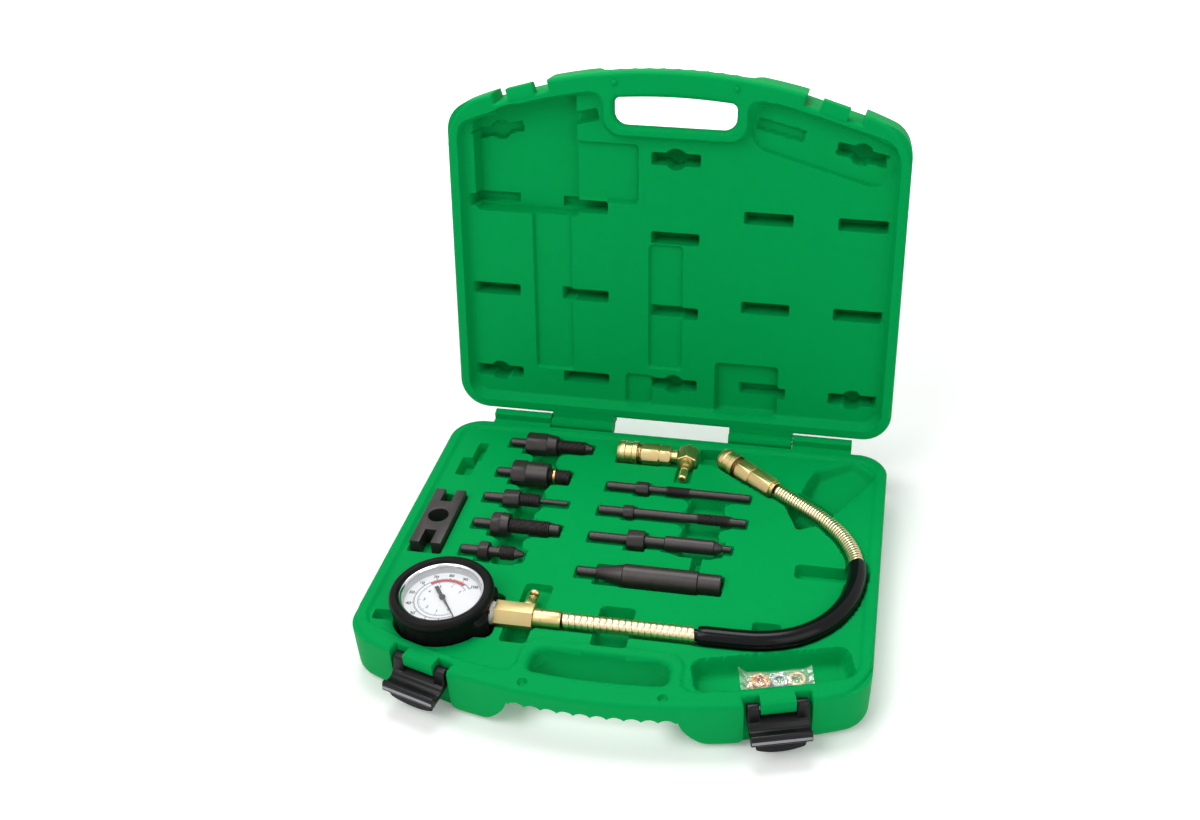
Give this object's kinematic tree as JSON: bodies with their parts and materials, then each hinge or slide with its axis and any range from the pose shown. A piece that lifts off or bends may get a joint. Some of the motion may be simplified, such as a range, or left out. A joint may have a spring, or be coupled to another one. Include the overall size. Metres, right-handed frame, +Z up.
{
  "type": "diesel compression tester kit",
  "caption": "Diesel compression tester kit: booted dial gauge on a guarded hose with quick coupler, engine adapters, clamp and elbow in an open hinged moulded case.",
  "frame": {"origin": "middle of the flat underside of the case's base", "axes": "+X to the right when facing the open case, +Y towards the hinges, +Z up out of the tray"},
  "size_m": [0.37, 0.3888, 0.3485],
  "materials": {
    "green_case": "fine leather grain outside, satin inside",
    "pin_steel": "bright drawn wire",
    "latch_black": "satin moulded",
    "boot_rubber": "satin",
    "gauge_steel": "black enamel",
    "bezel_chrome": "polished",
    "lens_clear": "clear",
    "dial_white": "matt white with printed scale",
    "spacer_grey": "satin",
    "pointer_black": "matt black",
    "movement_brass": "machined",
    "tape_white": "soft wrapped",
    "fitting_brass": "bright turned",
    "guard_plated": "yellow zinc plated",
    "hose_black": "smooth satin",
    "adapter_steel": "dark oxide finish",
    "clamp_steel": "dark oxide finish",
    "copper": "soft copper",
    "bag_film": "clear film",
    "seal_fibre": "pressed fibre"
  },
  "bodies": {
    "case": {"case_base": "green_case", "hinge_pins": "pin_steel", "latch_pins": "pin_steel"},
    "lid": {"case_lid": "green_case"},
    "left latch": {"latch_left": "latch_black"},
    "right latch": {"latch_right": "latch_black"},
    "tester": {"gauge_boot": "boot_rubber", "gauge_case": "gauge_steel", "gauge_bezel": "bezel_chrome", "gauge_lens": "lens_clear", "dial_spacer_ring": "spacer_grey", "gauge_dial": "dial_white", "hairspring": "pin_steel", "bourdon_tube": "movement_brass", "gauge_socket": "movement_brass", "movement_plates": "movement_brass", "thread_seal_tape": "tape_white", "valve_block": "fitting_brass", "release_valve_body": "fitting_brass", "release_spring": "pin_steel", "gauge_end_ferrule": "fitting_brass", "gauge_end_spring_guard": "guard_plated", "hose": "hose_black", "hose_cover": "hose_black", "coupler_end_spring_guard": "guard_plated", "coupler_end_ferrule": "fitting_brass", "coupler_body": "fitting_brass", "coupler_spring": "pin_steel", "coupler_balls": "bezel_chrome"},
    "pointer": {"gauge_pointer": "pointer_black", "pointer_pinion": "movement_brass"},
    "sector": {"sector_gear": "movement_brass", "sector_link": "movement_brass"},
    "release button": {"release_button": "fitting_brass"},
    "coupler sleeve": {"coupler_sleeve": "fitting_brass"},
    "elbow": {"elbow_body": "fitting_brass", "elbow_coupler_body": "fitting_brass", "elbow_spring": "pin_steel", "elbow_balls": "bezel_chrome"},
    "elbow sleeve": {"elbow_sleeve": "fitting_brass"},
    "adapter 1": {"adapter_1": "adapter_steel"},
    "adapter 2": {"adapter_2": "adapter_steel", "adapter_2_copper_ring": "copper"},
    "adapter 3": {"adapter_3": "adapter_steel"},
    "adapter 4": {"adapter_4": "adapter_steel"},
    "adapter 5": {"adapter_5": "adapter_steel"},
    "adapter 6": {"adapter_6": "adapter_steel"},
    "adapter 7": {"adapter_7": "adapter_steel"},
    "adapter 8": {"adapter_8": "adapter_steel"},
    "adapter 9": {"adapter_9": "adapter_steel"},
    "clamp": {"clamp_fork": "clamp_steel"},
    "washer bag": {"washer_bag": "bag_film", "copper_washers": "copper", "seal_rings": "seal_fibre"}
  },
  "joints": [
    {"name": "lid_hinge", "type": "hinge", "parent": "case", "child": "lid", "pos_m": [0, 0.1585, 0.042], "axis": [-1, 0, 0], "range_deg": [-98, 0]},
    {"name": "left_latch_hinge", "type": "hinge", "parent": "case", "child": "left latch", "pos_m": [-0.12372, -0.12856, 0.034], "axis": [0.9588, -0.2841, 0], "range_deg": [-110, 0]},
    {"name": "right_latch_hinge", "type": "hinge", "parent": "case", "child": "right latch", "pos_m": [0.12372, -0.12856, 0.034], "axis": [0.9588, 0.2841, 0], "range_deg": [-110, 0]},
    {"name": "tester_lift", "type": "slide", "parent": "case", "child": "tester", "axis": [0, 0, 1], "range_m": [0, 0.08]},
    {"name": "sector_turn", "type": "hinge", "parent": "tester", "child": "sector", "pos_m": [-0.1351, -0.08, 0.0425], "axis": [0, 0, 1], "range_deg": [0, 27], "stiffness_Nm_per_rad": 0.0002},
    {"name": "pointer_turn", "type": "hinge", "parent": "tester", "child": "pointer", "pos_m": [-0.123, -0.08, 0.05], "axis": [0, 0, -1], "range_deg": [0, 270]},
    {"name": "release_button_press", "type": "slide", "parent": "tester", "child": "release button", "axis": [0, -1, 0], "range_m": [0, 0.002], "stiffness_N_per_m": 500, "springref_m": -0.002},
    {"name": "coupler_sleeve_slide", "type": "slide", "parent": "tester", "child": "coupler sleeve", "axis": [0.8, -0.6, 0], "range_m": [0, 0.003], "stiffness_N_per_m": 800, "springref_m": -0.002},
    {"name": "elbow_lift", "type": "slide", "parent": "case", "child": "elbow", "axis": [0, 0, 1], "range_m": [0, 0.06]},
    {"name": "elbow_sleeve_slide", "type": "slide", "parent": "elbow", "child": "elbow sleeve", "axis": [1, 0, 0], "range_m": [0, 0.003], "stiffness_N_per_m": 800, "springref_m": -0.002},
    {"name": "adapter_1_lift", "type": "slide", "parent": "case", "child": "adapter 1", "axis": [0, 0, 1], "range_m": [0, 0.06]},
    {"name": "adapter_2_lift", "type": "slide", "parent": "case", "child": "adapter 2", "axis": [0, 0, 1], "range_m": [0, 0.06]},
    {"name": "adapter_3_lift", "type": "slide", "parent": "case", "child": "adapter 3", "axis": [0, 0, 1], "range_m": [0, 0.06]},
    {"name": "adapter_4_lift", "type": "slide", "parent": "case", "child": "adapter 4", "axis": [0, 0, 1], "range_m": [0, 0.06]},
    {"name": "adapter_5_lift", "type": "slide", "parent": "case", "child": "adapter 5", "axis": [0, 0, 1], "range_m": [0, 0.06]},
    {"name": "adapter_6_lift", "type": "slide", "parent": "case", "child": "adapter 6", "axis": [0, 0, 1], "range_m": [0, 0.06]},
    {"name": "adapter_7_lift", "type": "slide", "parent": "case", "child": "adapter 7", "axis": [0, 0, 1], "range_m": [0, 0.06]},
    {"name": "adapter_8_lift", "type": "slide", "parent": "case", "child": "adapter 8", "axis": [0, 0, 1], "range_m": [0, 0.06]},
    {"name": "adapter_9_lift", "type": "slide", "parent": "case", "child": "adapter 9", "axis": [0, 0, 1], "range_m": [0, 0.06]},
    {"name": "clamp_lift", "type": "slide", "parent": "case", "child": "clamp", "axis": [0, 0, 1], "range_m": [0, 0.06]},
    {"name": "washer_bag_lift", "type": "slide", "parent": "case", "child": "washer bag", "axis": [0, 0, 1], "range_m": [0, 0.06]}
  ],
  "couplings": [
    {"joint": "pointer_turn", "follows": "sector_turn", "ratio": 10}
  ]
}
